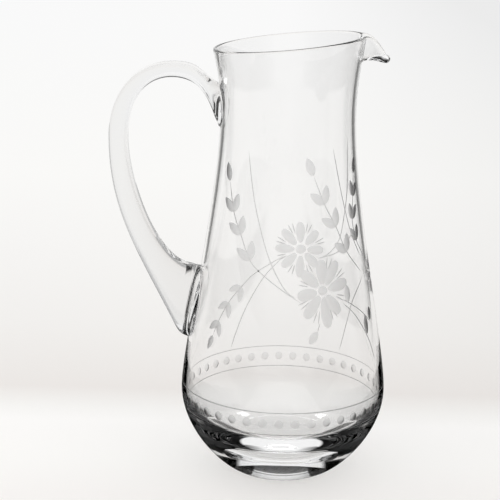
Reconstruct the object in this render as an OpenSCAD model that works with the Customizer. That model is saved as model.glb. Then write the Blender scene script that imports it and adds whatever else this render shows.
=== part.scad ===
// Blown glass cocktail pitcher with a pulled pouring lip and an applied handle.
// Frame: the origin is the centre of the foot, +Z is up, the lip points to +X and the handle to -X.

/* [Body] */
// Height of the rim on the axis of the vessel
rim_h = 245; // [210:1:290]
// Diameter of the flat ground foot
foot_d = 50; // [40:1:60]
// Outer diameter of the belly at its widest
belly_d = 116; // [104:1:136]
// Height of the widest part of the belly
belly_h = 48; // [38:1:62]
// Outer diameter of the neck at its narrowest
neck_d = 74.4; // [64:0.2:86]
// Height of the narrowest part of the neck
neck_h = 207; // [185:1:220]
// Outer diameter of the flared rim
rim_d = 83; // [76:0.5:94]
// How much higher the rim stands on the lip side than on the handle side
rim_rise = 8.4; // [0:0.2:14]
// Thickness of the wall at the belly
belly_wall = 2.4; // [2:0.1:5]
// Thickness of the wall at the rim
rim_wall = 1.9; // [1.6:0.1:4]
// Thickness of the solid glass between the foot and the inside floor
floor_t = 17; // [10:0.5:26]
// How far the middle of the inside floor is pushed up
dome_h = 2.5; // [0:0.5:6]

/* [Pouring lip] */
// How far the lip reaches past the rim
lip_reach = 10.2; // [6:0.2:16]
// How far the tip of the lip is turned down
lip_drop = 14; // [5:0.2:18]
// Width of the pinched channel
lip_w = 13.5; // [10:0.5:18]
// How far below the rim the neck starts to fold out into the lip
lip_depth = 11.5; // [8:0.5:24]
// Thickness of the wall at the tip of the lip
lip_wall = 4.6; // [2:0.1:6]

/* [Handle] */
// Clear width for the fingers between the neck and the strap
finger_gap = 51; // [42:1:60]
// Thickness of the strap at its outer bend
strap_t = 10.5; // [8:0.5:14]
// Thickness of the strap over the top of the arch
arch_t = 8.2; // [6.5:0.1:12]
// Width of the strap across the handle
strap_w = 15.5; // [12:0.5:20]
// Height of the top of the arch
arch_h = 233; // [222:1:236]
// Distance of the top of the arch from the neck
arch_out = 26; // [22:1:32]
// Height of the outer bend of the strap
bend_h = 191; // [175:1:200]
// Height of the top edge of the upper pad
upper_pad_h = 221.5; // [212:0.5:224]
// Length of the upper pad down the neck
upper_pad_l = 24; // [18:1:30]
// Width of the upper pad round the neck
upper_pad_w = 23; // [20:1:34]
// Height of the bottom edge of the lower pad
lower_pad_h = 77; // [70:1:90]
// Length of the lower pad up the belly
lower_pad_l = 41; // [32:1:48]
// Width of the lower pad round the belly
lower_pad_w = 36; // [26:1:42]

/* [Hidden] */

// Gap left between the handle's pads and the wall that they are fused to
weld_gap = 0.05;
// Stub under the foot that is ground away to leave the foot flat
ground_off = 1;

// Bends of the outline, as shares of the stretch that each one pulls on
foot_bend_share = 0.25;
belly_lower_bend_share = 0.52;
belly_upper_bend_share = 0.145;
neck_lower_bend_share = 0.30;
neck_upper_bend_share = 0.35;
rim_bend_share = 0.40;
bowl_floor_share = 0.62;
bowl_side_share = 0.58;
// Radius of the pushed up middle of the floor, as a share of the inside radius
dome_share = 0.45;
// Lean of the flared rim from upright, in degrees
rim_flare = 11;
// Powers that shape how the lip is pinched, drawn out and turned down, and how the rim is tilted
pinch_power = 3.2;
draw_power = 0.9;
turn_power = 1.16;
droop_power = 2;
rise_power = 1.5;
// Power that crowds the rings of the neck towards the rim
crowd_power = 0.75;

// Turns round the body: finer across the lip than round the rest
lip_half_turn = 30;
lip_turns = 26;
rest_turns = 36;
foot_rings = 8;
side_rings = 11;
neck_rings = 12;
bowl_rings = 9;
rim_rings = 5;
// Rings along the handle in each of its four stretches, and the sides of each ring
handle_rings = [9, 11, 15, 8];
handle_sides = 20;
pad_rings = 4;
// Small steps over which a slope is measured: degrees of turn and share of a stretch
slope_turn = 0.02;
slope_step_share = 0.0005;

foot_r = foot_d / 2;
belly_r = belly_d / 2;
neck_r = neck_d / 2;
rim_r = rim_d / 2;
// The rim is rounded, so the wall itself ends half its thickness lower
edge_h = rim_h - rim_wall / 2;
lip_root_h = edge_h - lip_depth;
lip_spread = lip_w / 2 / rim_r * 180 / PI;
inner_r = belly_r - belly_wall;

// The outside outline in three stretches, each a curve of four points [radius, height]
foot_curve = [
    [foot_r, 0],
    [foot_r + foot_bend_share * (belly_r - foot_r), 0],
    [belly_r, belly_h * (1 - belly_lower_bend_share)],
    [belly_r, belly_h]
];
side_curve = [
    [belly_r, belly_h],
    [belly_r, belly_h + belly_upper_bend_share * (neck_h - belly_h)],
    [neck_r, neck_h - neck_lower_bend_share * (neck_h - belly_h)],
    [neck_r, neck_h]
];
rim_pull = rim_bend_share * (edge_h - neck_h);
neck_curve = [
    [neck_r, neck_h],
    [neck_r, neck_h + neck_upper_bend_share * (edge_h - neck_h)],
    [rim_r - rim_pull * tan(rim_flare), edge_h - rim_pull],
    [rim_r, edge_h]
];
outline = [foot_curve, side_curve, neck_curve];
// The inside floor, a shallow bowl that rises into the wall at the belly
bowl_curve = [
    [0, floor_t],
    [inner_r * bowl_floor_share, floor_t],
    [inner_r, belly_h - bowl_side_share * (belly_h - floor_t)],
    [inner_r, belly_h]
];

function held(x) = max(0, min(1, x));

function bezier(c, t) =
    pow(1 - t, 3) * c[0] + 3 * pow(1 - t, 2) * t * c[1] + 3 * (1 - t) * t * t * c[2] + pow(t, 3) * c[3];

// Point of the inside floor: the bowl with its middle pushed up
function bowl_at(t) =
    let (p = bezier(bowl_curve, t))
    [p[0], p[1] + dome_h * pow(held(1 - pow(p[0] / (inner_r * dome_share), 2)), 2)];

// Point of the outside outline; whole values of v are the foot, the belly, the neck and the rim
function outline_at(v) =
    let (stretch = min(floor(v), len(outline) - 1))
    bezier(outline[stretch], v - stretch);

// How strongly the lip is drawn at a turn round the rim: 1 at its middle, 0 away from it
function pinch(a) = exp(-pow(abs(a > 180 ? a - 360 : a) / lip_spread, pinch_power));

// How far up the drawn part a step of the outline lies: 0 at the root of the lip, 1 at the rim
function drawn(v) = held((outline_at(v)[1] - lip_root_h) / lip_depth);

// Outside of the wall: the outline turned round the axis, its rim tilted and the lip drawn out and down
function outside(a, v) =
    let (p = outline_at(v))
    let (up = held((p[1] - neck_h) / (edge_h - neck_h)))
    let (r = p[0] + lip_reach * pinch(a) * pow(drawn(v), draw_power))
    let (rise = rim_rise / 2 * cos(a) * pow(up, rise_power))
    let (turn_down = lip_drop * pow(pinch(a), droop_power) * pow(drawn(v), turn_power))
    [r * cos(a), r * sin(a), p[1] + rise - turn_down];

function unit(w) = w / norm(w);

function up_the_wall(a, v) =
    unit(outside(a, min(v + slope_step_share, len(outline))) - outside(a, v - slope_step_share));

function out_of_wall(a, v) =
    unit(cross(outside(a + slope_turn, v) - outside(a - slope_turn, v), up_the_wall(a, v)));

// Thickness of the glass, which runs evenly from the belly to the rim and swells in the lip
function wall_t(a, v) =
    let (even = belly_wall + (rim_wall - belly_wall) * (v - 1) / (len(outline) - 1))
    even + (lip_wall - rim_wall) * pinch(a) * drawn(v);

// Inside of the wall from the belly up: the outside moved in by the thickness of the glass
function inside(a, v) = outside(a, v) - wall_t(a, v) * out_of_wall(a, v);

// Rounded edge of the rim, from the outside (0 degrees) over the top to the inside (180 degrees)
function rim_edge(a, roll) =
    let (top = len(outline))
    let (half = wall_t(a, top) / 2)
    let (middle = outside(a, top) - half * out_of_wall(a, top))
    middle + half * (cos(roll) * out_of_wall(a, top) + sin(roll) * up_the_wall(a, top));

function turned(p, a) = [p[0] * cos(a), p[0] * sin(a), p[1]];

body_turns = concat(
    [for (i = [0 : lip_turns - 1]) -lip_half_turn + 2 * lip_half_turn * i / lip_turns],
    [for (i = [0 : rest_turns - 1]) lip_half_turn + (360 - 2 * lip_half_turn) * i / rest_turns]
);
neck_steps = [for (i = [0 : neck_rings]) 2 + pow(i / neck_rings, crowd_power)];
outside_steps = concat(
    [for (i = [0 : foot_rings - 1]) i / foot_rings],
    [for (i = [0 : side_rings - 1]) 1 + i / side_rings],
    neck_steps
);
inside_steps = concat(
    [for (i = [0 : neck_rings]) neck_steps[neck_rings - i]],
    [for (i = [1 : side_rings]) 2 - i / side_rings]
);

// Rings of a closed loft joined by quads split into triangles, with the two ends left open
function skin(rings, sides) = [
    for (k = [0 : rings - 2], i = [0 : sides - 1])
        let (j = (i + 1) % sides)
        let (low = k * sides)
        let (high = low + sides)
        each [[low + i, high + i, high + j], [low + i, high + j, low + j]]
];

module pitcher_body() {
    sides = len(body_turns);
    rings = concat(
        [[for (a = body_turns) turned([foot_r, -ground_off], a)]],
        [for (v = outside_steps) [for (a = body_turns) outside(a, v)]],
        [for (k = [1 : rim_rings - 1]) [for (a = body_turns) rim_edge(a, 180 * k / rim_rings)]],
        [for (v = inside_steps) [for (a = body_turns) inside(a, v)]],
        [for (k = [1 : bowl_rings - 1]) [for (a = body_turns) turned(bowl_at(1 - k / bowl_rings), a)]]
    );
    points = concat([for (ring = rings) each ring], [[0, 0, floor_t + dome_h]]);
    last = (len(rings) - 1) * sides;
    centre = len(rings) * sides;
    stub = [[for (i = [0 : sides - 1]) i]];
    bowl = [for (i = [0 : sides - 1]) [last + i, centre, last + (i + 1) % sides]];
    color("ghostwhite", 0.5)
    difference() {
        polyhedron(points, concat(stub, skin(len(rings), sides), bowl));
        translate([-belly_r, -belly_r, -2 * ground_off]) cube([belly_d, belly_d, 2 * ground_off]);
    }
}

// Outside radius of the plain wall at a height, found by halving between the belly and the rim
function wall_r(z, low = 1, high = 3, halvings = 22) =
    let (middle = (low + high) / 2)
    halvings == 0 ? outline_at(middle)[0] :
    outline_at(middle)[1] < z ? wall_r(z, middle, high, halvings - 1) : wall_r(z, low, middle, halvings - 1);

// How far out from the axis the fused face of a pad lies, at a height and a distance across the handle
function seat(y, z) = sqrt(max(0, pow(wall_r(z) + weld_gap, 2) - y * y));

// Stations of the handle, as [distance out from the axis, height]
upper_pad_foot_h = upper_pad_h - upper_pad_l;
lower_pad_top_h = lower_pad_h + lower_pad_l;
arch_x = neck_r + arch_out;
bend_in_x = neck_r + finger_gap;
bend_out_x = bend_in_x + strap_t;
upper_top = [seat(0, upper_pad_h), upper_pad_h];
upper_foot = [seat(0, upper_pad_foot_h), upper_pad_foot_h];
lower_top = [seat(0, lower_pad_top_h), lower_pad_top_h];
lower_foot = [seat(0, lower_pad_h), lower_pad_h];
arch_rise = arch_h - upper_pad_h;
arch_run = bend_out_x - arch_x;
arch_fall = arch_h - bend_h;
inner_fall = arch_fall - arch_t;
drop_run = bend_out_x - lower_foot[0];
drop_fall = bend_h - lower_pad_h;
inner_run = bend_in_x - lower_top[0];
inner_drop = bend_h - lower_top[1];
// Bends of the two edges of the handle, as shares of the runs and falls between its stations
rise_shares = [0.49, 0.60, 0.56];
tail_shares = [0.16, 0.06, 0.86];
arch_shares = [0.59, 0.59];
outer_bend_share = 0.36;
heel_shares = [0.21, 0.092];
heel_slope_shares = [0.45, 0.355];
heel_end_shares = [0.13, 0.5];
inner_bend_share = 0.33;
crook_shares = [0.26, 0.036];
crook_slope_shares = [0.40, 0.11];
crook_end_shares = [0.20, 0.27];

// Where the outer edge turns in under the lower pad, and where the inner edge runs out onto its top
heel = lower_foot + [drop_run * heel_shares[0], drop_fall * heel_shares[1]];
heel_slope = [drop_run * heel_slope_shares[0], drop_fall * heel_slope_shares[1]];
crook = lower_top + [inner_run * crook_shares[0], inner_drop * crook_shares[1]];
crook_slope = [inner_run * crook_slope_shares[0], inner_drop * crook_slope_shares[1]];
under_arch_h = arch_h - arch_t;
// The edge of the strap that faces away from the body
outer_edge = [
    [upper_top,
     upper_top + [arch_out * rise_shares[0], arch_rise * rise_shares[1]],
     [arch_x - arch_out * rise_shares[2], arch_h],
     [arch_x, arch_h]],
    [[arch_x, arch_h],
     [arch_x + arch_run * arch_shares[0], arch_h],
     [bend_out_x, bend_h + arch_fall * arch_shares[1]],
     [bend_out_x, bend_h]],
    [[bend_out_x, bend_h],
     [bend_out_x, bend_h - drop_fall * outer_bend_share],
     heel + heel_slope,
     heel],
    [heel,
     heel - heel_slope * heel_end_shares[0],
     [lower_foot[0] + (heel[0] - lower_foot[0]) * heel_end_shares[1], lower_pad_h],
     lower_foot]
];
// The edge of the strap that the fingers touch
inner_edge = [
    [upper_foot,
     upper_foot + [arch_out * tail_shares[0], upper_pad_l * tail_shares[1]],
     [arch_x - arch_out * tail_shares[2], under_arch_h],
     [arch_x, under_arch_h]],
    [[arch_x, under_arch_h],
     [arch_x + (arch_run - strap_t) * arch_shares[0], under_arch_h],
     [bend_in_x, bend_h + inner_fall * arch_shares[1]],
     [bend_in_x, bend_h]],
    [[bend_in_x, bend_h],
     [bend_in_x, bend_h - inner_drop * inner_bend_share],
     crook + crook_slope,
     crook],
    [crook,
     crook - crook_slope * crook_end_shares[0],
     lower_top + (crook - lower_top) * crook_end_shares[1],
     lower_top]
];

// Width of the strap along the handle: wide at the pads, narrow where it is held
pad_flare_shares = [0.36, 0.70];
flare_power = 2.2;
function near_top(v) = held(1 - v / pad_flare_shares[0]);
function near_foot(v) = held(1 - (len(outer_edge) - v) / pad_flare_shares[1]);
function strap_width(v) =
    strap_w + (upper_pad_w - strap_w) * pow(near_top(v), flare_power)
            + (lower_pad_w - strap_w) * pow(near_foot(v), flare_power);

function edge_at(edge, v) =
    let (stretch = min(floor(v), len(edge) - 1))
    bezier(edge[stretch], v - stretch);

// How closely a ring follows the round of the wall: fully at the pads, not at all where it is held
function follow(v) =
    let (near_top = held(1 - v))
    let (near_foot = held(1 - (len(outer_edge) - v)))
    pow(max(near_top, near_foot), 2);

// A sine or cosine, pushed out towards its ends where the strap has flat faces and plain at the oval pads
flat_power = 0.52;
pad_power = 0.95;
function flattened(wave, v) =
    let (power = flat_power + (pad_power - flat_power) * max(near_top(v), near_foot(v)))
    sign(wave) * pow(abs(wave), power);

// One point of a ring of the strap, from edge to edge; size 1 is the skin, 0 the middle
function strap_point(v, turn, size = 1) =
    let (o = edge_at(outer_edge, v))
    let (i = edge_at(inner_edge, v))
    let (p = (o + i) / 2 + (o - i) / 2 * flattened(cos(turn), v) * size)
    let (y = strap_width(v) / 2 * flattened(sin(turn), v) * size)
    let (lean_in = wall_r(p[1]) + weld_gap - seat(y, p[1]))
    [-(p[0] - lean_in * follow(v)), y, p[1]];

// A point of a pad's fused face, which lies on the wall
function pad_point(v, turn, size) =
    let (p = strap_point(v, turn, size))
    [-seat(p[1], p[2]), p[1], p[2]];

module handle() {
    turns = [for (i = [0 : handle_sides - 1]) 360 * i / handle_sides];
    steps = concat(
        [for (s = [0 : len(handle_rings) - 1], i = [0 : handle_rings[s] - 1]) s + i / handle_rings[s]],
        [len(handle_rings)]
    );
    end = len(handle_rings);
    rings = concat(
        [for (k = [1 : pad_rings]) [for (t = turns) pad_point(0, t, k / pad_rings)]],
        [for (k = [1 : len(steps) - 2]) [for (t = turns) strap_point(steps[k], t)]],
        [for (k = [0 : pad_rings - 1]) [for (t = turns) pad_point(end, t, 1 - k / pad_rings)]]
    );
    points = concat(
        [for (ring = rings) each ring],
        [pad_point(0, 0, 0), pad_point(end, 0, 0)]
    );
    last = (len(rings) - 1) * handle_sides;
    top_middle = len(rings) * handle_sides;
    foot_middle = top_middle + 1;
    top_cap = [for (i = [0 : handle_sides - 1]) [i, (i + 1) % handle_sides, top_middle]];
    foot_cap = [for (i = [0 : handle_sides - 1]) [last + i, foot_middle, last + (i + 1) % handle_sides]];
    color("whitesmoke", 0.5)
    polyhedron(points, concat(top_cap, skin(len(rings), handle_sides), foot_cap));
}

pitcher_body();
handle();
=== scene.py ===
# %% [markdown]
# # A cut glass cocktail pitcher
# The pitcher is made of two gathers of clear glass: a blown vessel with a pulled pouring lip, and a handle
# that is stuck on while hot. Flowers, leaves and a row of beads are then ground into the cold wall with
# small wheels. The script opens the CAD model as a frame and makes a finer copy of each piece in the same
# place.

import math

import bpy
import numpy as np
from mathutils import Matrix


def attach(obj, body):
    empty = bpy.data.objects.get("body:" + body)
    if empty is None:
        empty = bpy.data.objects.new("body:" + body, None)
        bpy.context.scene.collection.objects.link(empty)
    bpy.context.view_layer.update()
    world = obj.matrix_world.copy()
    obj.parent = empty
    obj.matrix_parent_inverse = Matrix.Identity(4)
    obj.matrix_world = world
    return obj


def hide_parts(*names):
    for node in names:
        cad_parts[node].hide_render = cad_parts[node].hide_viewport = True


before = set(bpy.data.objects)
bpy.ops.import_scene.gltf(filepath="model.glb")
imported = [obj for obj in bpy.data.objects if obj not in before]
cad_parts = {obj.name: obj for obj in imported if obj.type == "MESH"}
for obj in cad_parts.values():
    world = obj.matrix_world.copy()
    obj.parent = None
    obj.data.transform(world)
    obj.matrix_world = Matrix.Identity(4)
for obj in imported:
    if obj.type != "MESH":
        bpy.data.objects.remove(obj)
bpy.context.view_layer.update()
MM = 0.001

# %% [markdown]
# ## The outline of the vessel
# A blown vessel is round, so half of its outline says almost everything about it. The outline could be a
# list of many points, but three cubic curves give the same line from a few sizes that can be read off a
# real pitcher: the foot, the belly, the neck and the rim.

# %% Sizes of the vessel
foot_r = 25 * MM
belly_r = 58 * MM
neck_r = 37.2 * MM
rim_r = 41.5 * MM
belly_h = 48 * MM
neck_h = 207 * MM
rim_h = 245 * MM
belly_wall = 2.4 * MM
rim_wall = 1.9 * MM
floor_t = 17 * MM
dome_h = 2.5 * MM
rim_rise = 8.4 * MM
rim_flare = math.radians(11)
edge_h = rim_h - rim_wall / 2
inner_r = belly_r - belly_wall
print("the wall ends", round(edge_h / MM, 1), "mm above the foot")

# %% The outline as three curves
foot_bend, belly_lower_bend, belly_upper_bend = 0.25, 0.52, 0.145
neck_lower_bend, neck_upper_bend, rim_bend = 0.30, 0.35, 0.40
side_rise = neck_h - belly_h
neck_rise = edge_h - neck_h
rim_pull = rim_bend * neck_rise
outline = [
    [
        (foot_r, 0),
        (foot_r + foot_bend * (belly_r - foot_r), 0),
        (belly_r, belly_h * (1 - belly_lower_bend)),
        (belly_r, belly_h),
    ],
    [
        (belly_r, belly_h),
        (belly_r, belly_h + belly_upper_bend * side_rise),
        (neck_r, neck_h - neck_lower_bend * side_rise),
        (neck_r, neck_h),
    ],
    [
        (neck_r, neck_h),
        (neck_r, neck_h + neck_upper_bend * neck_rise),
        (rim_r - rim_pull * math.tan(rim_flare), edge_h - rim_pull),
        (rim_r, edge_h),
    ],
]
print("the outline is made of", len(outline), "curves")


# %% Points along joined curves
def bezier(curve, t):
    """Points of a cubic curve at the shares t of its length."""
    t = np.asarray(t, float)[..., None]
    a, b, c, d = (np.array(point, float) for point in curve)
    return (1 - t) ** 3 * a + 3 * (1 - t) ** 2 * t * b + 3 * (1 - t) * t**2 * c + t**3 * d


def along(curves, v):
    """Points of joined curves; each whole value of v is the start of the next curve."""
    v = np.asarray(v, float)
    stretch = np.clip(np.floor(v), 0, len(curves) - 1)
    parts = [bezier(curve, v - k) for k, curve in enumerate(curves)]
    return np.select([(stretch == k)[..., None] for k in range(len(curves))], parts)


print("belly radius and height:", along(outline, 1.0) / MM)

# %% [markdown]
# ## The pouring lip
# The lip is not a piece of its own. While the rim is soft, one spot of it is pinched between two tools,
# drawn outwards and turned down. A bell curve of the angle says how strongly each part of the rim is
# pulled, so the lip grows out of the round wall without a seam. The rim also tilts a little, higher on the
# lip's side.

# %% Sizes of the lip
lip_reach = 10.2 * MM
lip_drop = 14.0 * MM
lip_w = 13.5 * MM
lip_depth = 11.5 * MM
lip_wall = 4.6 * MM
pinch_power, draw_power, turn_power, droop_power, rise_power = 3.2, 0.90, 1.16, 2.0, 1.5
lip_spread = lip_w / 2 / rim_r
lip_root_h = edge_h - lip_depth
top = len(outline)
print("the lip is drawn out by", round(lip_reach / MM, 1), "mm")


# %% Outside of the wall with the lip drawn out
def pinch(turn):
    """How strongly the lip is drawn at a turn round the rim: 1 at its middle, 0 away from it."""
    off = np.abs((turn + math.pi) % (2 * math.pi) - math.pi)
    return np.exp(-((off / lip_spread) ** pinch_power))


def drawn(v):
    """How far a step along the outline is up the part that is drawn out: 0 at its root, 1 at the rim."""
    return np.clip((along(outline, v)[..., 1] - lip_root_h) / lip_depth, 0, 1)


def outside(turn, v):
    """The outside of the wall at a turn from the lip and a step along the outline."""
    point = along(outline, v)
    r, z = point[..., 0], point[..., 1]
    up = np.clip((z - neck_h) / neck_rise, 0, 1)
    r = r + lip_reach * pinch(turn) * drawn(v) ** draw_power
    z = z + rim_rise / 2 * np.cos(turn) * up**rise_power
    z = z - lip_drop * pinch(turn) ** droop_power * drawn(v) ** turn_power
    return np.stack([r * np.cos(turn), r * np.sin(turn), z], -1)


print("tip of the lip in mm:", outside(np.array(0.0), np.array(float(top))) / MM)

# %% [markdown]
# ## The inside
# The inside follows the outside at the thickness of the glass, and that thickness has to be measured square
# to the wall, or the lip would come out thin. So the script works out which way the wall faces from two
# small steps, one round it and one up it. The rim is a half circle. The floor is a shallow bowl over thick
# glass, and its middle is pushed up a little, with a fine dip round it where the tool pressed.

# %% Thickness square to the wall
small_turn, small_step = 1e-4, 5e-4


def unit(vectors):
    """The same directions with a length of 1."""
    return vectors / np.linalg.norm(vectors, axis=-1, keepdims=True)


def up_the_wall(turn, v):
    """The direction straight up the wall at a place."""
    return unit(outside(turn, np.minimum(v + small_step, top)) - outside(turn, v - small_step))


def out_of_wall(turn, v):
    """The direction square out of the wall at a place."""
    round_it = outside(turn + small_turn, v) - outside(turn - small_turn, v)
    return unit(np.cross(round_it, up_the_wall(turn, v)))


def wall_t(turn, v):
    """Thickness of the glass, which runs evenly from the belly to the rim and swells in the lip."""
    even = belly_wall + (rim_wall - belly_wall) * (v - 1) / (top - 1)
    return even + (lip_wall - rim_wall) * pinch(turn) * drawn(v)


def inside(turn, v):
    """The inside of the wall at a turn from the lip and a step along the outline."""
    return outside(turn, v) - wall_t(turn, v)[..., None] * out_of_wall(turn, v)


print("glass at the belly:", belly_wall / MM, "mm, at the rim:", rim_wall / MM, "mm")

# %% Rounded rim and bowl
bowl_floor, bowl_side = 0.62, 0.58
dome_r = 0.45 * inner_r
ring_dip, ring_w = 0.6 * MM, 1.6 * MM
bowl = [
    (0, floor_t),
    (inner_r * bowl_floor, floor_t),
    (inner_r, belly_h - bowl_side * (belly_h - floor_t)),
    (inner_r, belly_h),
]


def rim_edge(turn, roll):
    """The rounded rim, from the outside (roll 0) over the top to the inside (half a turn)."""
    v = np.full(np.broadcast(turn, roll).shape, float(top))
    turn = np.broadcast_to(turn, v.shape)
    half = wall_t(turn, v)[..., None] / 2
    middle = outside(turn, v) - half * out_of_wall(turn, v)
    lift = np.sin(roll)[..., None] * up_the_wall(turn, v)
    return middle + half * (np.cos(roll)[..., None] * out_of_wall(turn, v) + lift)


def bowl_point(turn, t):
    """The inside of the floor, from its middle (t 0) to the side (t 1)."""
    point = bezier(bowl, t)
    r, z = point[..., 0], point[..., 1]
    z = z + dome_h * np.clip(1 - (r / dome_r) ** 2, 0, 1) ** 2
    z = z - ring_dip * np.exp(-(((r - dome_r) / ring_w) ** 2))
    return np.stack([r * np.cos(turn), r * np.sin(turn), z + 0 * turn], -1)


print("glass at the floor:", floor_t / MM, "mm, and its middle is", dome_h / MM, "mm higher")

# %% [markdown]
# ## A mesh from rings
# Both pieces of glass are lofts: rings of points, one after another, with quads between them. A loft could
# be made with curve objects and a bevel, but then the rings can't be thick at one side or lie on another
# piece. So one helper turns a stack of rings and two end points into a closed mesh.

# %% Rings to a closed mesh
def glass_piece(name, rings, first, last):
    """A smooth closed mesh through rings of points, closed by a fan at each end."""
    count, sides = rings.shape[:2]
    points = np.vstack([rings.reshape(-1, 3), first, last])
    i = np.arange(sides)
    j = (i + 1) % sides
    low = np.arange(count - 1)[:, None] * sides
    quads = np.stack([low + i, low + j, low + sides + j, low + sides + i], -1).reshape(-1, 4)
    end = (count - 1) * sides
    first_fan = np.stack([np.full(sides, count * sides), j, i], -1)
    last_fan = np.stack([end + i, end + j, np.full(sides, count * sides + 1)], -1)
    mesh = bpy.data.meshes.new(name)
    mesh.from_pydata(points.tolist(), [], quads.tolist() + first_fan.tolist() + last_fan.tolist())
    mesh.shade_smooth()
    piece = bpy.data.objects.new(name, mesh)
    bpy.context.collection.objects.link(piece)
    return piece


print("helper ready: rings to a closed mesh")

# %% Steps round and along the vessel
# The rings are closer together round the lip and towards the rim, where the glass bends most
lip_half = math.pi / 6
lip_count, rest_count = 60, 156
foot_count, side_count, neck_count, roll_count, bowl_count = 60, 56, 46, 12, 50
rim_crowding = 0.8
lip_turns = np.linspace(-lip_half, lip_half, lip_count + 1)[:-1]
rest_turns = np.linspace(lip_half, 2 * math.pi - lip_half, rest_count + 1)[:-1]
turns = np.concatenate([lip_turns, rest_turns])[None, :]
foot_steps = np.linspace(0, 1, foot_count + 1)[:-1]
side_steps = np.linspace(1, 2, side_count + 1)[:-1]
neck_steps = 2 + np.linspace(0, 1, neck_count + 1) ** rim_crowding
wall_steps = np.concatenate([foot_steps, side_steps, neck_steps])[:, None]
inside_steps = np.concatenate([neck_steps[::-1], side_steps[::-1]])[:, None]
roll_steps = np.linspace(0, math.pi, roll_count + 1)[1:-1, None]
bowl_steps = np.linspace(1, 0, bowl_count + 1)[1:-1, None]
ground_shares = np.array([0.3, 0.6, 0.85])[:, None]
print("points round each ring:", turns.size)


# %% Blow the vessel
def ground_foot(turn, share):
    """The flat face that is ground under the foot."""
    return np.stack([foot_r * share * np.cos(turn), foot_r * share * np.sin(turn), 0 * turn * share], -1)


def spread(shape, steps):
    """A shape's points at every step and every turn."""
    return shape(turns + 0 * steps, steps + 0 * turns)


vessel_rings = np.concatenate(
    [
        spread(ground_foot, ground_shares),
        spread(outside, wall_steps),
        spread(rim_edge, roll_steps),
        spread(inside, inside_steps),
        spread(bowl_point, bowl_steps),
    ]
)
vessel = glass_piece("vessel", vessel_rings, [0, 0, 0], [0, 0, floor_t + dome_h])
print("vessel:", len(vessel.data.polygons), "faces")

# %% [markdown]
# ## The handle
# The handle is a second gather of hot glass, stuck on the belly, drawn up, looped over and pressed on the
# neck. Two edges say how it runs: the one that faces away and the one that the fingers touch. Each ring is
# an oval between them. At both ends the rings widen into a pad that lies on the wall.

# %% Sizes of the handle
finger_gap, strap_t, arch_t, strap_w = 51 * MM, 10.5 * MM, 8.2 * MM, 15.5 * MM
arch_h, arch_out, bend_h = 233 * MM, 26 * MM, 191 * MM
upper_pad_h, upper_pad_l, upper_pad_w = 221.5 * MM, 24 * MM, 23 * MM
lower_pad_h, lower_pad_l, lower_pad_w = 77 * MM, 41 * MM, 36 * MM
# The pads sink this far into the wall, so that no film of air shows between the two pieces
weld_depth = 0.15 * MM
print("the strap is", strap_w / MM, "mm wide and", strap_t / MM, "mm thick")

# %% The pads' places on the wall
wall_points = 6000
wall_line = along(outline, np.linspace(0, top, wall_points))


def wall_r(z):
    """Outside radius of the plain wall at a height."""
    return np.interp(z, wall_line[:, 1], wall_line[:, 0])


def seat(y, z):
    """How far out the fused face of a pad lies, at a distance across the handle and a height."""
    return np.sqrt(np.maximum(0, (wall_r(z) - weld_depth) ** 2 - y * y))


def station(z):
    """A place on the wall in the handle's own plane: how far out and how high."""
    return np.array([float(seat(0, z)), z])


upper_top, upper_foot = station(upper_pad_h), station(upper_pad_h - upper_pad_l)
lower_top, lower_foot = station(lower_pad_h + lower_pad_l), station(lower_pad_h)
print("pads from", upper_foot / MM, "to", upper_top / MM, "and from", lower_foot / MM, "to", lower_top / MM)

# %% The two edges of the handle
arch_x = neck_r + arch_out
bend_in_x = neck_r + finger_gap
bend_out_x = bend_in_x + strap_t
under_arch_h = arch_h - arch_t
arch_run, arch_fall = bend_out_x - arch_x, arch_h - bend_h
drop = np.array([bend_out_x - lower_foot[0], bend_h - lower_pad_h])
inner_drop = np.array([bend_in_x - lower_top[0], bend_h - lower_top[1]])
# Places and slopes of the heel and the crook, as shares of the way from the bend down to the lower pad
heel_at, heel_lean = (0.21, 0.092), (0.45, 0.355)
crook_at, crook_lean = (0.26, 0.036), (0.40, 0.11)
heel = lower_foot + drop * heel_at
heel_slope = drop * heel_lean
crook = lower_top + inner_drop * crook_at
crook_slope = inner_drop * crook_lean
arch_share, outer_bend, inner_bend = 0.59, 0.36, 0.33
# How far each end of the handle pulls its edge along before it bends
upper_out, upper_rise, over_arch = 0.49, 0.60, 0.56
under_out, under_rise, under_arch = 0.16, 0.06, 0.86
heel_pull, heel_foot, crook_pull, crook_top = 0.13, 0.5, 0.20, 0.27
outer_edge = [
    [
        upper_top,
        upper_top + (arch_out * upper_out, (arch_h - upper_pad_h) * upper_rise),
        (arch_x - arch_out * over_arch, arch_h),
        (arch_x, arch_h),
    ],
    [
        (arch_x, arch_h),
        (arch_x + arch_run * arch_share, arch_h),
        (bend_out_x, bend_h + arch_fall * arch_share),
        (bend_out_x, bend_h),
    ],
    [(bend_out_x, bend_h), (bend_out_x, bend_h - drop[1] * outer_bend), heel + heel_slope, heel],
    [
        heel,
        heel - heel_slope * heel_pull,
        (lower_foot[0] + (heel[0] - lower_foot[0]) * heel_foot, lower_pad_h),
        lower_foot,
    ],
]
inner_edge = [
    [
        upper_foot,
        upper_foot + (arch_out * under_out, upper_pad_l * under_rise),
        (arch_x - arch_out * under_arch, under_arch_h),
        (arch_x, under_arch_h),
    ],
    [
        (arch_x, under_arch_h),
        (arch_x + (arch_run - strap_t) * arch_share, under_arch_h),
        (bend_in_x, bend_h + (arch_fall - arch_t) * arch_share),
        (bend_in_x, bend_h),
    ],
    [(bend_in_x, bend_h), (bend_in_x, bend_h - inner_drop[1] * inner_bend), crook + crook_slope, crook],
    [crook, crook - crook_slope * crook_pull, lower_top + (crook - lower_top) * crook_top, lower_top],
]
print("the loop is", round((bend_in_x - neck_r) / MM, 1), "mm wide inside")

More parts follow.
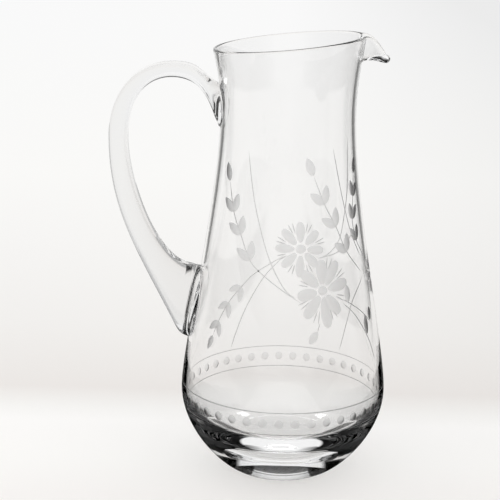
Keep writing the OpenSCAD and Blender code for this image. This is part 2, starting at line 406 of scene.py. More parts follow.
# %% Sections of the handle
# How far along the handle each pad makes it wider, and how flat its faces are
pad_flare = (0.30, 0.45)
flare_power, flat_power, pad_power = 3.0, 0.52, 0.95
handle_end = len(outer_edge)


def near_pads(v):
    """How near a step is to the upper and to the lower pad: 1 on the pad, 0 where the strap is held."""
    return np.clip(1 - v / pad_flare[0], 0, 1), np.clip(1 - (handle_end - v) / pad_flare[1], 0, 1)


def strap_half(v):
    """Half the width of the strap: wide at the pads, narrow where it is held."""
    upper, lower = (near**flare_power for near in near_pads(v))
    return (strap_w + (upper_pad_w - strap_w) * upper + (lower_pad_w - strap_w) * lower) / 2


def flattened(wave, v):
    """A sine or cosine, pushed out towards its ends where the strap has flat faces."""
    power = flat_power + (pad_power - flat_power) * np.maximum(*near_pads(v))
    return np.sign(wave) * np.abs(wave) ** power


def strap_point(v, roll, size=1.0):
    """A point of the ring at a step along the handle; size 1 is the skin and 0 the middle."""
    outer, inner = along(outer_edge, v), along(inner_edge, v)
    p = (outer + inner) / 2 + (outer - inner) / 2 * (flattened(np.cos(roll), v) * size)[..., None]
    y = strap_half(v) * flattened(np.sin(roll), v) * size
    follow = np.clip(np.maximum(1 - v, 1 - (handle_end - v)), 0, 1) ** 2
    lean_in = wall_r(p[..., 1]) - weld_depth - seat(y, p[..., 1])
    return np.stack([-(p[..., 0] - lean_in * follow), y, p[..., 1]], -1)


def pad_point(v, roll, size):
    """A point of a pad's fused face, which follows the wall."""
    p = strap_point(v, roll, size)
    return np.stack([-seat(p[..., 1], p[..., 2]), p[..., 1], p[..., 2]], -1)


print("half widths in mm at the two pads:", strap_half(np.array([0.0, handle_end])) / MM)

# %% Loft the handle
section_count, pad_count, strap_counts = 56, 6, (40, 36, 56, 40)
rolls = np.linspace(0, 2 * math.pi, section_count + 1)[:-1][None, :]
strap_steps = np.concatenate([k + np.linspace(0, 1, n + 1)[:-1] for k, n in enumerate(strap_counts)])
strap_steps = strap_steps[1:, None]
pad_sizes = np.linspace(0, 1, pad_count + 1)[1:, None]
upper_pad = pad_point(0 * (pad_sizes + rolls), rolls + 0 * pad_sizes, pad_sizes + 0 * rolls)
strap = strap_point(strap_steps + 0 * rolls, rolls + 0 * strap_steps, np.ones_like(strap_steps + rolls))
pad_sizes = pad_sizes[::-1]
lower_pad = pad_point(handle_end + 0 * (pad_sizes + rolls), rolls + 0 * pad_sizes, pad_sizes + 0 * rolls)
handle_rings = np.concatenate([upper_pad, strap, lower_pad])
handle = glass_piece("handle_strap", handle_rings, upper_pad[0].mean(0), lower_pad[-1].mean(0))
print("handle:", len(handle.data.polygons), "faces")

# %% [markdown]
# ## Wheel cuts
# The ornament is ground into the wall, so it is cut here too: each mark is a small closed shape that dips
# into the glass and is taken away with a Boolean. A bump map would be quicker, but real cuts bend the light
# at their own edges, and they are there in the mesh for whoever uses the part. Marks are laid out on the
# wall in degrees round from the front and millimetres up, and every shape is bent to follow the wall.

# %% Places on the wall
def on_wall(azimuth, height, out=0.0):
    """A point at degrees round from the front, a height in mm and a distance in mm out of the wall."""
    a, z = np.radians(azimuth), np.asarray(height, float) * MM
    step = 0.5 * MM
    slope = (wall_r(z + step) - wall_r(z - step)) / (2 * step)
    tilt = 1 / np.sqrt(1 + slope**2)
    r = wall_r(z) + out * MM * tilt
    return np.stack([r * np.sin(a), -r * np.cos(a), z - out * MM * slope * tilt], -1)


def across_wall(azimuth, height, east, north):
    """Degrees and height of a point some mm round (east) and up (north) the wall from another."""
    z = height + np.asarray(north, float)
    return azimuth + np.degrees(np.asarray(east, float) * MM / wall_r(z * MM)), z


print("front of the belly:", on_wall(0, 48) / MM)

# %% Shapes to be taken out
class Cutters:
    """Closed shapes that are taken out of the wall together."""

    def __init__(self):
        self.points = []
        self.faces = []
        self.count = 0

    def loft(self, rings, closed=False):
        """Adds a loft of rings: closed into a hoop, or with a flat face at each end."""
        count, sides = rings.shape[:2]
        i = np.arange(sides)
        j = (i + 1) % sides
        low = np.arange(count if closed else count - 1)[:, None] * sides
        high = (low + sides) % (count * sides)
        quads = np.stack([low + i, low + j, high + j, high + i], -1).reshape(-1, 4) + self.count
        self.faces += quads.tolist()
        if not closed:
            last = (count - 1) * sides
            self.faces += [(self.count + i[::-1]).tolist(), (self.count + last + i).tolist()]
        self.points.append(rings.reshape(-1, 3))
        self.count += count * sides


print("helper ready: a set of cutters")

# %% One wheel mark
mark_steps, mark_sides, line_sides = 16, 18, 8
# The section of a cutter is widest above the wall, so it is made this much wider than the mark it leaves
above_wall, overcut = 0.25, 1.12


def ring_rolls(sides):
    """Angles round a cutter's section."""
    return np.linspace(0, 2 * math.pi, sides + 1)[:-1][None, :]


def dish(roll, depth):
    """The section of a cut: a shallow round dish below the wall and a roof that stays clear of it above."""
    return depth * (above_wall - np.sin(roll) * np.abs(np.sin(roll)))


def wheel_mark(cutters, azimuth, height, heading, length, width, depth, point=0.5, swell=0.0):
    """A dished mark: heading is degrees from straight up towards the right, point 0.5 is oval and 1 sharp."""
    u = np.cos(np.linspace(math.pi, 0, mark_steps + 1))[1:-1, None]
    roll = ring_rolls(mark_sides)
    girth = (1 - u**2) ** point * (1 + swell * u)
    forward = length / 2 * u + 0 * roll
    side = overcut * width / 2 * girth * np.cos(roll)
    turn = math.radians(heading)
    east = forward * math.sin(turn) + side * math.cos(turn)
    north = forward * math.cos(turn) - side * math.sin(turn)
    cutters.loft(on_wall(*across_wall(azimuth, height, east, north), dish(roll, depth * girth)))


def mark_between(cutters, start, end, width, depth, **shape):
    """A mark from one place on the wall to another."""
    (a0, z0), (a1, z1) = start, end
    middle = (z0 + z1) / 2
    east = math.radians(a1 - a0) * wall_r(middle * MM) / MM
    heading = math.degrees(math.atan2(east, z1 - z0))
    length = math.hypot(east, z1 - z0)
    wheel_mark(cutters, (a0 + a1) / 2, middle, heading, length, width, depth, **shape)


print("a mark has", (mark_steps - 1) * mark_sides, "points")

# %% Scratched lines and hoops
line_w, line_depth = 0.55, 0.30
# A line's end is this thin, and it is full after one part in so many of its length
thin_end, run_out = 0.15, 12


def smooth_path(places, per_stretch=14):
    """A smooth run of (degrees, mm) places through a few given ones."""
    p = np.array(places, float)
    p = np.vstack([2 * p[0] - p[1], p, 2 * p[-1] - p[-2]])
    t = np.linspace(0, 1, per_stretch, endpoint=False)[:, None]
    runs = []
    for a, b, c, d in zip(p, p[1:], p[2:], p[3:]):
        square, cube = a - 2.5 * b + 2 * c - d / 2, 1.5 * (b - c) + (d - a) / 2
        runs.append(b + (c - a) / 2 * t + square * t**2 + cube * t**3)
    return np.vstack([*runs, p[-2]])


def scratched_line(cutters, places, width=line_w, depth=line_depth):
    """A fine line that follows places on the wall and runs out at both ends."""
    path = smooth_path(places)
    r = wall_r(path[:, 1] * MM) / MM
    step = np.gradient(np.stack([np.radians(path[:, 0]) * r, path[:, 1]], -1), axis=0)
    heading = unit(step)[:, None, :]
    share = np.linspace(0, 1, len(path))[:, None]
    girth = np.clip(run_out * np.minimum(share, 1 - share) + thin_end, 0, 1)
    roll = ring_rolls(line_sides)
    side = width / 2 * girth * np.cos(roll)
    east, north = side * heading[..., 1], -side * heading[..., 0]
    place = across_wall(path[:, :1], path[:, 1:], east, north)
    cutters.loft(on_wall(*place, dish(roll, depth * girth)))


def hoop(cutters, height, width=line_w, depth=line_depth):
    """A fine line all round the wall."""
    around = np.linspace(360, 0, 361)[:-1][:, None]
    roll = ring_rolls(line_sides)
    place = across_wall(around, height, 0 * (around + roll), width / 2 * np.cos(roll) + 0 * around)
    cutters.loft(on_wall(*place, dish(-roll, depth) + 0 * around), closed=True)


print("tools ready: wheel mark, scratched line, hoop")

# %% [markdown]
# ## The pattern
# The pattern is a common one of cut glass: daisies with fine spikes between their petals, sprays of paired
# leaves on bent stems, a few long hair lines, and a row of round beads between two hoops. A daisy and a
# spray are functions, so each needs only its place and its size.

# %% Daisies and sprays
petal_depth, leaf_depth = 0.55, 0.55
petal_shape = {"point": 0.45, "swell": 0.15}
leaf_shape = {"point": 0.72, "swell": -0.18}
petal_root, boss_height = 0.6, 0.9
spike_root, spike_w, spike_lean, spike_point = 0.6, 0.7, 5, 0.7
# A leaf's middle lies this share of its length out from the stem
leaf_middle = 0.53
# Marks that overlap are kept in different sets, because the shapes of one set mustn't cross
layers = [Cutters() for k in range(3)]
lines = [Cutters() for k in range(3)]
bead_row = Cutters()


def ray_from(azimuth, height, heading, distance):
    """The place at a distance in mm from another, in a heading."""
    turn = math.radians(heading)
    return across_wall(azimuth, height, distance * math.sin(turn), distance * math.cos(turn))


def daisy(azimuth, height, petals, gaps, width, boss=5.6):
    """Petals round a boss, each a heading and a reach in mm, with a tuft of short spikes in each gap."""
    for k, (heading, reach) in enumerate(petals):
        root = boss * petal_root
        place = ray_from(azimuth, height, heading, (root + reach) / 2)
        wheel_mark(layers[k % 2], *place, heading, reach - root, width, petal_depth, **petal_shape)
    wheel_mark(layers[2], azimuth, height, 90, boss, boss * boss_height, petal_depth)
    for heading, reach in gaps:
        for k, lean in enumerate((-spike_lean, spike_lean)):
            inner = ray_from(azimuth, height, heading + lean * spike_root, reach * spike_root)
            outer = ray_from(azimuth, height, heading + lean, reach)
            mark_between(lines[k], inner, outer, spike_w, line_depth, point=spike_point)


def spray(places, pairs, leaf=10.2, opening=31, fullness=0.5):
    """A stem with a leaf at its first place and pairs of leaves at the next ones."""
    places = np.array(places, float)
    for k in range(pairs + 1):
        ahead = places[max(k - 1, 0)] - places[max(k, 1)]
        r = wall_r(places[k][1] * MM) / MM
        heading = math.degrees(math.atan2(math.radians(ahead[0]) * r, ahead[1]))
        for layer, lean in enumerate((-opening, opening) if k else (0,)):
            place = ray_from(*places[k], heading + lean, leaf * leaf_middle)
            wheel_mark(layers[layer], *place, heading + lean, leaf, leaf * fullness, leaf_depth, **leaf_shape)
    scratched_line(lines[2], places)


print("a petal is", petal_depth, "mm deep, a leaf", leaf_depth, "mm, a line", line_depth, "mm")

# %% Lay out the flowers
front_petals = [(-1, 14.3), (47, 13.2), (96, 12.8), (137, 13.4)]
front_petals += [(183, 15.1), (227, 13.8), (272, 13.8), (316, 14.2)]
front_gaps = [(337, 14.5), (21, 14.5), (73, 14), (292, 14), (205, 14.5), (158, 14.5), (249, 13.5)]
daisy(10.7, 140.2, front_petals, front_gaps, 5.0)
full_petals = [(0, 16.5), (33, 17.6), (80, 16.4), (143, 16.6)]
full_petals += [(173, 20.4), (217, 17.6), (260, 14.6), (313, 15.6)]
full_gaps = [(16.5, 18), (57, 17), (291, 14), (113, 15), (156, 17.5), (196, 18), (239, 16)]
daisy(25.3, 117.4, full_petals, full_gaps, 6.6)
side_petals = [(45 * k, 12.5) for k in range(8)]
side_gaps = [(45 * k + 22, 13) for k in range(8)]
daisy(88, 117, side_petals, side_gaps, 4.8)
print("three daisies with", len(front_petals) + len(full_petals) + len(side_petals), "petals")

# %% Lay out the sprays
left_spray = [(-50.1, 172.3), (-42.3, 156.7), (-33.6, 145.4), (-24.5, 132.8), (-15.7, 126.4), (12.4, 110.4)]
right_spray = [(21.4, 178.2), (30, 162.7), (39.1, 150.2), (48, 135.6), (62.5, 122.3)]
low_spray = [(-47, 88.8), (-43.8, 97.3), (-37.4, 108.6), (-28.9, 118.4), (-19.3, 127), (-0.6, 137.1)]
far_spray = [(66, 176), (62, 164), (58, 152), (61, 140), (72, 128)]
spray(left_spray, 3)
spray(right_spray, 3)
spray(low_spray, 3, leaf=8.6, fullness=0.46)
spray(far_spray, 3, leaf=9.0, opening=24)
single_leaves = (
    ((20.7, 96.0), (15.4, 89.6)),
    ((44.3, 118.4), (44.7, 108.6)),
    ((60.3, 99.0), (61.0, 88.0)),
    ((67.3, 102.0), (67.0, 94.5)),
)
single_leaf_w = 4.6
for start, end in single_leaves:
    mark_between(layers[2], start, end, single_leaf_w, leaf_depth, point=leaf_shape["point"])
print("four sprays and", len(single_leaves), "single leaves")

# %% Lay out the lines
hair_lines = (
    (0, [(22.4, 100.0), (20.7, 96.0)]),
    (0, [(-32.8, 190.4), (-26.2, 168.5), (-18.4, 149.8), (-10.1, 133.1), (-0.1, 118.9), (7.3, 113.9)]),
    (0, [(40, 191.9), (49.1, 160.2), (55.1, 144.4), (63.9, 130.9)]),
    (1, [(58.7, 196.1), (55, 171.3), (48.4, 155.7), (41.4, 143.5), (31.1, 136.7), (22.5, 134.5)]),
    (1, [(-2.3, 135.7), (-13.8, 125), (-23.7, 109.2), (-29.1, 95.5), (-32.2, 84.2)]),
    (1, [(63.7, 120.1), (49.8, 110), (42, 98.9), (34.4, 84.5)]),
    (2, [(24.8, 134.9), (40.3, 137.2), (57, 145.3)]),
    (0, [(40.3, 110.9), (45.6, 108.3), (56.5, 101.8), (66.9, 93.8)]),
    (2, [(40.2, 109.0), (50.5, 100.3), (61.8, 85), (67.3, 71.5)]),
)
for layer, places in hair_lines:
    scratched_line(lines[layer], places)
print(len(hair_lines), "hair lines")

# %% The row of beads and its hoops
beads, first_bead, bead_h, bead_d = 41, 174, 46, 5.0
hoop_heights = (52.4, 39.6)
for k in range(beads):
    wheel_mark(bead_row, first_bead + 360 * k / beads, bead_h, 0, bead_d, bead_d, petal_depth)
for height in hoop_heights:
    hoop(lines[0], height)
print("corners of the cutters:", [cutters.count for cutters in (*layers, *lines, bead_row)])

# %% [markdown]
# ## Grinding
# Each finish is a material of its own, and a Boolean can carry it along: the faces that a cutter leaves
# behind take the cutter's material slot. So the cutters get all the vessel's slots and the number of one of
# them. The Manifold solver is quick and exact on closed shapes, which all the cutters are.

# %% Finishes and the grinding tool
clear_slot, cut_slot, line_slot, bead_slot, fused_slot = range(5)
clear_glass = bpy.data.materials.new("clear_glass")
thick_shaded_glass = bpy.data.materials.new("thick_shaded_glass")
frosted_cut = bpy.data.materials.new("frosted_cut")
scratched_cut = bpy.data.materials.new("scratched_cut")
bead_cut = bpy.data.materials.new("bead_cut")
fused_face = bpy.data.materials.new("fused_face")
for finish in (clear_glass, frosted_cut, scratched_cut, bead_cut, fused_face):
    vessel.data.materials.append(finish)
for finish in (thick_shaded_glass, fused_face):
    handle.data.materials.append(finish)


def grind(piece, cutters, slot):
    """Takes the cutters' shapes out of a piece; the cut faces get the given material slot."""
    mesh = bpy.data.meshes.new("cutters")
    mesh.from_pydata(np.vstack(cutters.points).tolist(), [], cutters.faces)
    mesh.shade_smooth()
    mesh.polygons.foreach_set("material_index", [slot] * len(mesh.polygons))
    for finish in piece.data.materials:
        mesh.materials.append(finish)
    tool = bpy.data.objects.new("cutters", mesh)
    bpy.context.collection.objects.link(tool)
    cut = piece.modifiers.new("cut", "BOOLEAN")
    cut.operation, cut.solver, cut.object = "DIFFERENCE", "MANIFOLD", tool
    ground = bpy.data.meshes.new_from_object(piece.evaluated_get(bpy.context.evaluated_depsgraph_get()))
    piece.modifiers.clear()
    piece.data = ground
    bpy.data.objects.remove(tool)


print("finishes of the vessel:", [finish.name for finish in vessel.data.materials])

# %% Grind the marks out of the wall
for layer in layers:
    grind(vessel, layer, cut_slot)
for line in lines:
    grind(vessel, line, line_slot)
grind(vessel, bead_row, bead_slot)
print("vessel with its marks:", len(vessel.data.polygons), "faces")

# %% [markdown]
# ## Fusing the handle to the wall
# Hot glass melts together, so no surface is left where a pad meets the wall. Joining both pieces into one
# mesh would show that, but the handle should stay a piece of its own. So the handle's own shape is cut out
# of the wall as a seat, and the faces of the seat and of the pads get a finish that can't be seen.

# %% Seat the handle
handle_seat = Cutters()
handle_seat.loft(handle_rings)
grind(vessel, handle_seat, fused_slot)
strips, sides = len(handle_rings) - 1, handle_rings.shape[1]
pad_strips = len(pad_sizes) - 1
strip_of = np.arange(len(handle.data.polygons)) // sides
on_pad = (strip_of < pad_strips) | (strip_of >= strips - pad_strips)
handle.data.polygons.foreach_set("material_index", on_pad.astype(int))
print("faces of the handle that are fused:", int(on_pad.sum()))

# %% Keep the edges of the cuts crisp
# An edge between clear glass and a cut is marked sharp, so that smooth shading doesn't run across it
mesh = vessel.data
finish_of = np.zeros(len(mesh.polygons), int)
mesh.polygons.foreach_get("material_index", finish_of)
corners_of = np.zeros(len(mesh.polygons), int)
mesh.polygons.foreach_get("loop_total", corners_of)
edge_of = np.zeros(len(mesh.loops), int)
mesh.loops.foreach_get("edge_index", edge_of)
finish_of_corner = np.repeat(finish_of, corners_of)
touches_clear = np.zeros(len(mesh.edges), bool)
touches_cut = np.zeros(len(mesh.edges), bool)
touches_clear[edge_of[finish_of_corner == clear_slot]] = True
touches_cut[edge_of[finish_of_corner != clear_slot]] = True
sharp = mesh.attributes.new("sharp_edge", "BOOLEAN", "EDGE")
sharp.data.foreach_set("value", touches_clear & touches_cut)
print("vessel after cutting:", int((corners_of - 2).sum()), "triangles")

# %% [markdown]
# ## Clear and frosted glass
# Clear glass is one shader: full transmission, no roughness, and an index of refraction of 1.5. Blown glass
# is never quite even, so a very low bump makes its reflections waver. The handle is solid and thicker than
# the wall, so its glass takes a little more of the light, and its darker colour is also painted shade. The
# wheel leaves a matt, grainy ground in the cuts, so there the same glass is rough, with a fine grain, and a
# little darker as painted shade. The scratched lines are as rough and a little darker again, as painted shade
# of the grooves, and the beads are smoother, because their round wheel is finer, and darker as painted shade.
# Where a pad of the handle is fused to the wall there is no surface any more, so the two faces that meet
# there let light pass as if they weren't there.

# %% Shader and grain
def shader_of(material):
    """A material's nodes, its links and its Principled shader."""
    material.use_nodes = True
    return material.node_tree.nodes, material.node_tree.links, material.node_tree.nodes["Principled BSDF"]


def grain(material, scale, detail, distance, strength):
    """A bump of fine noise in the material, on the object's own coordinates."""
    nodes, links, shader = shader_of(material)
    place = nodes.new("ShaderNodeTexCoord")
    noise = nodes.new("ShaderNodeTexNoise")
    noise.inputs["Scale"].default_value = scale
    noise.inputs["Detail"].default_value = detail
    bump = nodes.new("ShaderNodeBump")
    bump.inputs["Distance"].default_value = distance
    bump.inputs["Strength"].default_value = strength
    links.new(place.outputs["Object"], noise.inputs["Vector"])
    links.new(noise.outputs["Fac"], bump.inputs["Height"])
    links.new(bump.outputs["Normal"], shader.inputs["Normal"])


print("helper ready: a bump of fine noise")

# %% The finishes
glass_ior = 1.5
# Roughness, colour and alpha of each finish
finishes = (
    (clear_glass, 0.0, 0.98, 1.0),
    # The handle's darker colour is partly the light that thick glass takes and partly painted shade
    (thick_shaded_glass, 0.0, 0.91, 1.0),
    # The cuts, the lines and the beads are darker than clear glass as painted shade
    (frosted_cut, 0.65, 0.88, 1.0),
    (scratched_cut, 0.65, 0.60, 1.0),
    (bead_cut, 0.30, 0.76, 1.0),
    (fused_face, 0.0, 0.98, 0.0),
)
for material, rough, colour, alpha in finishes:
    shader = shader_of(material)[2]
    shader.inputs["Base Color"].default_value = (colour, colour, colour, 1)
    shader.inputs["Transmission Weight"].default_value = 1.0
    shader.inputs["IOR"].default_value = glass_ior
    shader.inputs["Alpha"].default_value = alpha
    shader.inputs["Roughness"].default_value = rough
# Scale, detail, height and strength of a bump: uneven blown glass, the wheel's grain, and a finer wheel's
waver = (40, 1, 0.005 * MM, 1.0)
wheel_grain = (2500, 2, 0.05 * MM, 1.0)
bead_grain = (2500, 2, 0.05 * MM, 0.5)
grain(clear_glass, *waver)
grain(thick_shaded_glass, *waver)
grain(frosted_cut, *wheel_grain)
grain(scratched_cut, *wheel_grain)
grain(bead_cut, *bead_grain)
print("materials:", [row[0].name for row in finishes])

# %% Put the pieces in the CAD's place
for piece, node, slot in ((vessel, "pitcher_body", "body_glass"), (handle, "handle", "handle_glass")):
    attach(piece, "root")
    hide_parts(node)
print("pieces:", vessel.name, "and", handle.name)

# %% [markdown]
# ## The table and the backdrop
# Clear glass shows what is round it, so the set matters as much as the glass. The pitcher stands on a pale
# sheet that runs far back. Its tone is painted light and shade that changes with the distance: light where
# the table is, a painted shade behind the table's soft back edge, and light again higher up. The tones sit on
# the sheet's own coordinates.

# %% Painted light and shade of the sheet
sheet_half, sheet_z = 15.0, -0.03 * MM
# Distances in metres behind the pitcher and the painted tone of light and shade there
tones = (
    (-0.060, (0.955, 0.93, 0.91)),
    (0.000, (0.985, 0.975, 0.955)),
    (0.060, (0.99, 0.98, 0.965)),
    (0.082, (0.94, 0.93, 0.91)),
    (0.118, (0.85, 0.82, 0.795)),
    (0.250, (0.89, 0.875, 0.855)),
    (0.480, (0.925, 0.915, 0.90)),
    (0.800, (0.955, 0.95, 0.935)),
    (2.500, (0.95, 0.95, 0.95)),
)
# In front of this distance the tones run back again
tone_turn = 0.06
tone_start, tone_scale = 0.1, 0.8
# Towards the right the sheet gets darker, a painted shade, by this share in each metre and no more than the
# second one
shade_per_metre, most_shade = 0.27, 0.12
# This share of the tone is the sheet's own glow, and the rest is lit, so that the sheet keeps a shadow
glow_share = 0.5
print(len(tones), "tones from", tones[0][0], "to", tones[-1][0], "m behind the pitcher")


# %% Helpers for the set
def flat_sheet(name, corners, material):
    """One face of the set, which isn't part of the object."""
    mesh = bpy.data.meshes.new(name)
    mesh.from_pydata(corners, [], [(0, 1, 2, 3)])
    mesh.materials.append(material)
    sheet = bpy.data.objects.new(name, mesh)
    bpy.context.collection.objects.link(sheet)
    return sheet


def add_math(nodes, links, operation, first, second):
    """A Math node on two values, each a number or another node's output."""
    node = nodes.new("ShaderNodeMath")
    node.operation = operation
    for socket, value in zip(node.inputs, (first, second)):
        if isinstance(value, bpy.types.NodeSocket):
            links.new(value, socket)
        else:
            socket.default_value = value
    return node.outputs["Value"]


def add_mix(nodes, links, share, colour):
    """A Mix node from a colour towards black, by a share that is a number or another node's output."""
    node = nodes.new("ShaderNodeMix")
    node.data_type = "RGBA"
    if isinstance(share, bpy.types.NodeSocket):
        links.new(share, node.inputs["Factor"])
    else:
        node.inputs["Factor"].default_value = share
    links.new(colour, node.inputs["A"])
    node.inputs["B"].default_value = (0, 0, 0, 1)
    return node.outputs["Result"]


print("helpers ready: a flat sheet, a sum and a mix of colours")

# %% Paper with painted light and shade
paper = bpy.data.materials.new("paper")
nodes, links, shader = shader_of(paper)
place = nodes.new("ShaderNodeTexCoord")
split = nodes.new("ShaderNodeSeparateXYZ")
links.new(place.outputs["Object"], split.inputs["Vector"])
turned = add_math(nodes, links, "ADD", split.outputs["Y"], tone_turn)
turned = add_math(nodes, links, "ABSOLUTE", turned, 0.0)
near = add_math(nodes, links, "ADD", turned, tone_start - tone_turn)
far = add_math(nodes, links, "ADD", near, tone_scale)
share = add_math(nodes, links, "DIVIDE", near, far)
ramp = nodes.new("ShaderNodeValToRGB")
links.new(share, ramp.inputs["Fac"])
stops = ramp.color_ramp.elements
while len(stops) < len(tones):
    stops.new(0.5)
for stop, (distance, tone) in zip(stops, tones):
    stop.position = (distance + tone_start) / (distance + tone_start + tone_scale)
    stop.color = (*tone, 1)
# Painted shade that grows towards the right of the sheet
fall_off = add_math(nodes, links, "MULTIPLY", split.outputs["X"], shade_per_metre)
fall_off = add_math(nodes, links, "MINIMUM", fall_off, most_shade)
shaded = add_mix(nodes, links, fall_off, ramp.outputs["Color"])
links.new(shaded, shader.inputs["Emission Color"])
shader.inputs["Emission Strength"].default_value = glow_share
links.new(add_mix(nodes, links, glow_share, shaded), shader.inputs["Base Color"])
shader.inputs["Roughness"].default_value = 1.0
shader.inputs["Specular IOR Level"].default_value = 0.0
h = sheet_half
flat_sheet("sheet", [(-h, -h, sheet_z), (h, -h, sheet_z), (h, h, sheet_z), (-h, h, sheet_z)], paper)
print("sheet of", 2 * sheet_half, "m with", len(tones), "tones")

# %% [markdown]
# ## Light and dark cards
# Clear glass on a white ground would nearly vanish, so photographers put dark cards just outside the
# picture. The glass bends their darkness into its own edges and into the thick base, and that draws its
# shape. Here the cards are seen only by light that has been bent or reflected inside the glass, so they
# leave the sheet and its shadow alone, and they don't show as plain black boards behind the thin wall when
# the camera moves.

# %% Light from all round
world = bpy.data.worlds.new("studio")
bpy.context.scene.world = world
world.use_nodes = True
sky = world.node_tree.nodes["Background"]
sky.inputs["Color"].default_value = (1, 1, 1, 1)
sky.inputs["Strength"].default_value = 1.0
bpy.context.scene.view_settings.view_transform = "Standard"
bounces = 18
bpy.context.scene.cycles.max_bounces = bounces
bpy.context.scene.cycles.glossy_bounces = bounces
bpy.context.scene.cycles.transmission_bounces = bounces
print("white light from all round, light paths of", bounces, "steps")

# %% A material that only glows
def glowing(name):
    """A material that only glows; returns it with its nodes, its links and the glow's strength socket."""
    material = bpy.data.materials.new(name)
    material.use_nodes = True
    nodes, links = material.node_tree.nodes, material.node_tree.links
    nodes.clear()
    glow = nodes.new("ShaderNodeEmission")
    out = nodes.new("ShaderNodeOutputMaterial")
    links.new(glow.outputs["Emission"], out.inputs["Surface"])
    return material, nodes, links, glow.inputs["Strength"]


def seen_through_glass(card):
    """Hides a card from the camera and from the light on the sheet."""
    card.visible_camera = False
    card.visible_diffuse = False
    card.visible_glossy = False
    card.visible_shadow = False


print("helpers ready: a glowing material, and what hides it")

# %% [markdown]
# ### Who sees a card
# Light Path tells a material how the light came to it. Transmission Depth counts the surfaces of glass that
# the light has passed, and Glossy Depth the times it was thrown back inside the glass. Where a card
# shouldn't be seen it is transparent, so the sky or the next card behind it shows there. Its ends fade out
# as well. Most cards are black; those for the soft lines along the handle are grey.

# %% A card's material
def card_material(name, steps, surfaces, reflected, dark_level):
    """A card that is clear, dark and clear again at four steps along its length."""
    material, nodes, links, strength = glowing(name)
    strength.default_value = dark_level
    place = nodes.new("ShaderNodeTexCoord")
    split = nodes.new("ShaderNodeSeparateXYZ")
    links.new(place.outputs["Object"], split.inputs["Vector"])
    path = nodes.new("ShaderNodeLightPath")
    passed = add_math(nodes, links, "SUBTRACT", path.outputs["Transmission Depth"], surfaces)
    if reflected:
        straight = add_math(nodes, links, "SUBTRACT", 1.0, path.outputs["Glossy Depth"])
        hidden = add_math(nodes, links, "MINIMUM", passed, straight)
    else:
        hidden = add_math(nodes, links, "MAXIMUM", passed, path.outputs["Glossy Depth"])
    level = add_math(nodes, links, "MAXIMUM", path.outputs["Diffuse Depth"], hidden)
    for clear, dark in (steps[:2], steps[:1:-1]):
        fade = nodes.new("ShaderNodeMapRange")
        fade.inputs["From Min"].default_value = dark
        fade.inputs["From Max"].default_value = clear
        links.new(split.outputs["Y"], fade.inputs["Value"])
        level = add_math(nodes, links, "MAXIMUM", level, fade.outputs["Result"])
    mix = nodes.new("ShaderNodeMixShader")
    links.new(level, mix.inputs["Fac"])
    links.new(strength.node.outputs["Emission"], mix.inputs[1])
    links.new(nodes.new("ShaderNodeBsdfTransparent").outputs["BSDF"], mix.inputs[2])
    links.new(mix.outputs["Shader"], nodes["Material Output"].inputs["Surface"])
    return material


print("helper ready: a card that only bent or reflected light sees")

# %% Hang the dark cards
# Each card runs along Y between two edges (x, z); then the four steps, how many surfaces straight light may
# have passed to see it, whether light that was reflected inside the glass sees it, and how light its dark is
dark_cards = (
    ("left_card", (-0.30, 0.0), (-0.30, 0.25), (0.20, 0.30, 0.44, 1.60), 0, True, 0.0),
    ("right_card", (0.30, 0.0), (0.30, 0.25), (0.20, 0.30, 0.44, 1.60), 0, True, 0.0),
    ("left_low_card", (-0.075, 0.0), (-0.075, 0.055), (-0.10, -0.06, 0.10, 0.14), 2, True, 0.0),
    ("right_low_card", (0.075, 0.0), (0.075, 0.055), (-0.10, -0.06, 0.10, 0.14), 2, True, 0.0),
    ("left_wall", (-1.0, 0.12), (-1.0, 3.0), (-2.4, -0.4, 2.0, 2.4), 0, True, 0.0),
    ("right_wall", (1.0, 0.12), (1.0, 3.0), (-2.4, -0.4, 2.0, 2.4), 0, True, 0.0),
    ("front_flag", (-1.0, 1.5), (1.0, 1.5), (-4.0, -2.5, -0.7, -0.5), 0, True, 0.0),
    ("handle_edge_card", (0.305, 0.0), (0.305, 0.25), (0.20, 0.30, 0.44, 1.60), 2, False, 0.5),
    ("handle_side_card", (-0.20, 0.0), (-0.20, 0.18), (-0.06, -0.03, 0.07, 0.10), 2, False, 0.45),
    ("handle_top_card", (-2.50, 1.2), (2.50, 1.2), (-0.8, -0.6, 2.2, 4.6), 2, False, 0.0),
    ("handle_foot_card", (-0.22, 0.001), (-0.04, 0.001), (-0.06, -0.04, 0.12, 0.16), 2, False, 0.45),
)
for name, (x0, z0), (x1, z1), steps, *seen_by in dark_cards:
    front, back = steps[0], steps[-1]
    corners = [(x0, front, z0), (x0, back, z0), (x1, back, z1), (x1, front, z1)]
    seen_through_glass(flat_sheet(name, corners, card_material(name, steps, *seen_by)))
print(len(dark_cards), "dark cards")

# %% [markdown]
# ### A lamp and a mat
# A small lamp high behind the pitcher makes glints on the inside floor. They are faint reflections, so the
# lamp is bright for them alone and no brighter than the sky for everything else. A black mat on the table
# is seen only in reflections, and it darkens the lower part of the base.

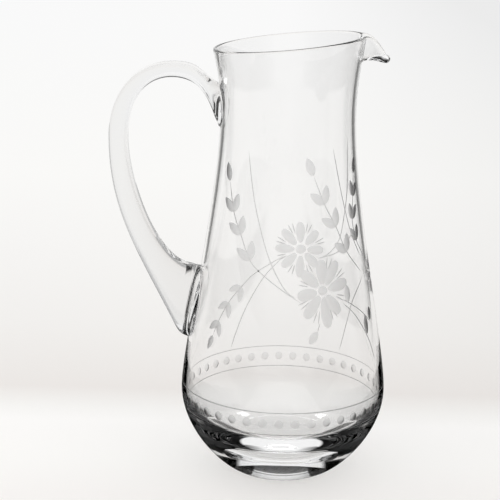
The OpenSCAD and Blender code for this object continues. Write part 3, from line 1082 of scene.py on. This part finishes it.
# %% Lamp for the glints
# The lamp is as bright as the sky, and brighter only for light that has passed this many surfaces
lamp_strength, lamp_surfaces = 8.0, 4
lamp_glow, nodes, links, strength = glowing("lamp_glow")
path = nodes.new("ShaderNodeLightPath")
beyond = add_math(nodes, links, "SUBTRACT", path.outputs["Transmission Depth"], lamp_surfaces - 1)
glint = add_math(nodes, links, "MINIMUM", beyond, 1.0)
glint = add_math(nodes, links, "SUBTRACT", glint, path.outputs["Diffuse Depth"])
glint = add_math(nodes, links, "MAXIMUM", glint, 0.0)
extra = add_math(nodes, links, "MULTIPLY", glint, lamp_strength - 1)
links.new(add_math(nodes, links, "ADD", extra, 1.0), strength)
lamp_x, lamp_y, lamp_low, lamp_high = 0.40, 1.2, 1.05, 1.25
corners = [(-lamp_x, lamp_low), (lamp_x, lamp_low), (lamp_x, lamp_high), (-lamp_x, lamp_high)]
lamp = flat_sheet("lamp", [(x, lamp_y, z) for x, z in corners], lamp_glow)
seen_through_glass(lamp)
print("lamp of", 2 * lamp_x, "m, its strength", lamp_strength, "in the glints only")

# %% Black mat for the reflections low on the base
mat_half, mat_z = 0.25, -0.01 * MM
black, nodes, links, strength = glowing("black")
strength.default_value = 0.0
corners = [(-mat_half, -mat_half), (mat_half, -mat_half), (mat_half, mat_half), (-mat_half, mat_half)]
mat = flat_sheet("mat", [(x, y, mat_z) for x, y in corners], black)
mat.visible_camera = False
mat.visible_diffuse = False
mat.visible_transmission = False
mat.visible_shadow = False
print("mat of", 2 * mat_half, "m, seen only in reflections")

# %% [markdown]
# ## The camera
# The camera's place, its lens and its small turns come from the photo: they are the ones that put the rim,
# the belly, the foot and the handle of a 245 mm pitcher on the places where the photo shows them.

# %% Camera
camera_place = (0, -791.3 * MM, 337.2 * MM)
camera_yaw, camera_pitch, camera_roll = math.radians(1.441), math.radians(14.827), math.radians(0.8415)
focal_px, picture_px, sensor = 1456.1, 500, 36
camera = bpy.data.objects.new("camera", bpy.data.cameras.new("camera"))
bpy.context.collection.objects.link(camera)
camera.data.sensor_width = sensor
camera.data.lens = sensor * focal_px / picture_px
camera.matrix_world = (
    Matrix.Translation(camera_place)
    @ Matrix.Rotation(camera_yaw, 4, "Z")
    @ Matrix.Rotation(math.pi / 2 - camera_pitch, 4, "X")
    @ Matrix.Rotation(camera_roll, 4, "Z")
)
bpy.context.scene.camera = camera
print("lens:", round(camera.data.lens, 1), "mm")
